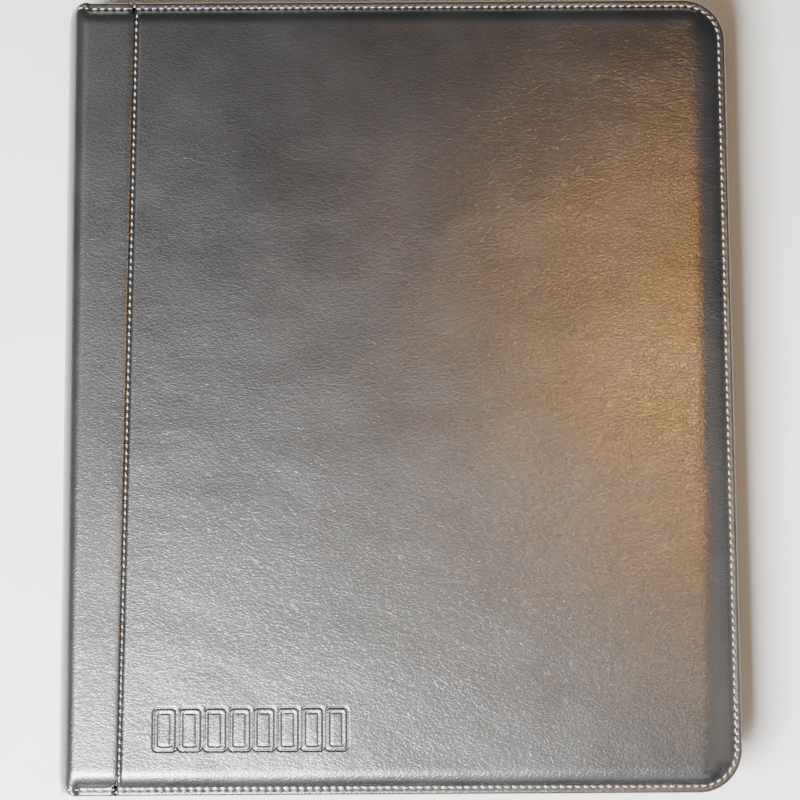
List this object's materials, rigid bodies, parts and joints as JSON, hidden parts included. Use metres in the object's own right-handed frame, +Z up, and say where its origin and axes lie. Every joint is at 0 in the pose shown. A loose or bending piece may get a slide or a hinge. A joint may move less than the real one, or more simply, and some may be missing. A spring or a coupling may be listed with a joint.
{
  "type": "trading card binder",
  "caption": "Padded leatherette card album with a rounded spine, contrast stitching, a lever-operated ring mechanism and pocket leaves.",
  "frame": {"origin": "under the middle of the closed album, on the surface it lies on", "axes": "+Z up through the closed album, +Y from the bottom edge to the top edge, +X from the spine to the open edge"},
  "size_m": [0.267, 0.318, 0.036],
  "materials": {
    "leatherette": "semi-gloss pebbled",
    "thread": "matte",
    "board": "matte",
    "foam": "matte",
    "lining": "matte",
    "ring_steel": "nickel-plated",
    "ring_wire": "polished",
    "leaf_backing": "satin",
    "pocket_film": "clear"
  },
  "bodies": {
    "back_cover": {"back_board": "board", "back_foam": "foam", "back_lining": "lining", "back_panel_leather": "leatherette", "back_spine_leather": "leatherette", "back_edge_stitching": "thread", "back_seam_stitching": "thread", "ring_plate": "ring_steel", "plate_rivets": "ring_steel"},
    "spine": {"spine_board": "board", "spine_foam": "foam", "spine_lining": "lining", "spine_leather": "leatherette"},
    "front_cover": {"front_board": "board", "front_foam": "foam", "front_lining": "lining", "front_panel_leather": "leatherette", "front_spine_leather": "leatherette", "front_edge_stitching": "thread", "front_seam_stitching": "thread"},
    "ring_left": {"ring_blade_left": "ring_steel", "half_rings_left": "ring_wire"},
    "ring_right": {"ring_blade_right": "ring_steel", "half_rings_right": "ring_wire"},
    "lever_top": {"lever_top": "ring_steel"},
    "lever_bottom": {"lever_bottom": "ring_steel"},
    "leaf_1": {"leaf_1_sheet": "leaf_backing", "leaf_1_pockets": "pocket_film"},
    "leaf_2": {"leaf_2_sheet": "leaf_backing", "leaf_2_pockets": "pocket_film"},
    "leaf_3": {"leaf_3_sheet": "leaf_backing", "leaf_3_pockets": "pocket_film"},
    "leaf_4": {"leaf_4_sheet": "leaf_backing", "leaf_4_pockets": "pocket_film"},
    "leaf_5": {"leaf_5_sheet": "leaf_backing", "leaf_5_pockets": "pocket_film"},
    "leaf_6": {"leaf_6_sheet": "leaf_backing", "leaf_6_pockets": "pocket_film"},
    "leaf_7": {"leaf_7_sheet": "leaf_backing", "leaf_7_pockets": "pocket_film"},
    "leaf_8": {"leaf_8_sheet": "leaf_backing", "leaf_8_pockets": "pocket_film"}
  },
  "joints": [
    {"name": "spine_fold", "type": "hinge", "parent": "back_cover", "child": "spine", "pos_m": [-0.1318, 0, 0.0017], "axis": [0, -1, 0], "range_deg": [0, 90]},
    {"name": "front_cover_fold", "type": "hinge", "parent": "spine", "child": "front_cover", "pos_m": [-0.1318, 0, 0.0343], "axis": [0, -1, 0], "range_deg": [0, 90]},
    {"name": "top_lever_press", "type": "hinge", "parent": "back_cover", "child": "lever_top", "pos_m": [-0.1095, 0.1415, 0.0097], "axis": [-1, 0, 0], "range_deg": [0, 14]},
    {"name": "bottom_lever_press", "type": "hinge", "parent": "back_cover", "child": "lever_bottom", "pos_m": [-0.1095, -0.1415, 0.0097], "axis": [1, 0, 0], "range_deg": [0, 14]},
    {"name": "right_ring_open", "type": "hinge", "parent": "back_cover", "child": "ring_right", "pos_m": [-0.1003, 0, 0.0091], "axis": [0, 1, 0], "range_deg": [0, 8]},
    {"name": "left_ring_open", "type": "hinge", "parent": "back_cover", "child": "ring_left", "pos_m": [-0.1187, 0, 0.0091], "axis": [0, -1, 0], "range_deg": [0, 8]},
    {"name": "leaf_1_turn", "type": "hinge", "parent": "back_cover", "child": "leaf_1", "pos_m": [-0.1095, 0, 0.0176], "axis": [0, -1, 0], "range_deg": [0, 178]},
    {"name": "leaf_2_turn", "type": "hinge", "parent": "back_cover", "child": "leaf_2", "pos_m": [-0.1095, 0, 0.0176], "axis": [0, -1, 0], "range_deg": [0, 176]},
    {"name": "leaf_3_turn", "type": "hinge", "parent": "back_cover", "child": "leaf_3", "pos_m": [-0.1095, 0, 0.0176], "axis": [0, -1, 0], "range_deg": [0, 174]},
    {"name": "leaf_4_turn", "type": "hinge", "parent": "back_cover", "child": "leaf_4", "pos_m": [-0.1095, 0, 0.0176], "axis": [0, -1, 0], "range_deg": [0, 172]},
    {"name": "leaf_5_turn", "type": "hinge", "parent": "back_cover", "child": "leaf_5", "pos_m": [-0.1095, 0, 0.0176], "axis": [0, -1, 0], "range_deg": [0, 8]},
    {"name": "leaf_6_turn", "type": "hinge", "parent": "back_cover", "child": "leaf_6", "pos_m": [-0.1095, 0, 0.0176], "axis": [0, -1, 0], "range_deg": [0, 6]},
    {"name": "leaf_7_turn", "type": "hinge", "parent": "back_cover", "child": "leaf_7", "pos_m": [-0.1095, 0, 0.0176], "axis": [0, -1, 0], "range_deg": [0, 4]},
    {"name": "leaf_8_turn", "type": "hinge", "parent": "back_cover", "child": "leaf_8", "pos_m": [-0.1095, 0, 0.0176], "axis": [0, -1, 0], "range_deg": [0, 2]}
  ],
  "couplings": [
    {"joint": "front_cover_fold", "follows": "spine_fold", "ratio": 1},
    {"joint": "bottom_lever_press", "follows": "top_lever_press", "ratio": 1},
    {"joint": "right_ring_open", "follows": "top_lever_press", "ratio": 0.57143},
    {"joint": "left_ring_open", "follows": "top_lever_press", "ratio": 0.57143},
    {"joint": "leaf_1_turn", "follows": "spine_fold", "ratio": 1.9778},
    {"joint": "leaf_2_turn", "follows": "spine_fold", "ratio": 1.9556},
    {"joint": "leaf_3_turn", "follows": "spine_fold", "ratio": 1.9333},
    {"joint": "leaf_4_turn", "follows": "spine_fold", "ratio": 1.9111},
    {"joint": "leaf_5_turn", "follows": "spine_fold", "ratio": 0.088889},
    {"joint": "leaf_6_turn", "follows": "spine_fold", "ratio": 0.066667},
    {"joint": "leaf_7_turn", "follows": "spine_fold", "ratio": 0.044444},
    {"joint": "leaf_8_turn", "follows": "spine_fold", "ratio": 0.022222}
  ]
}
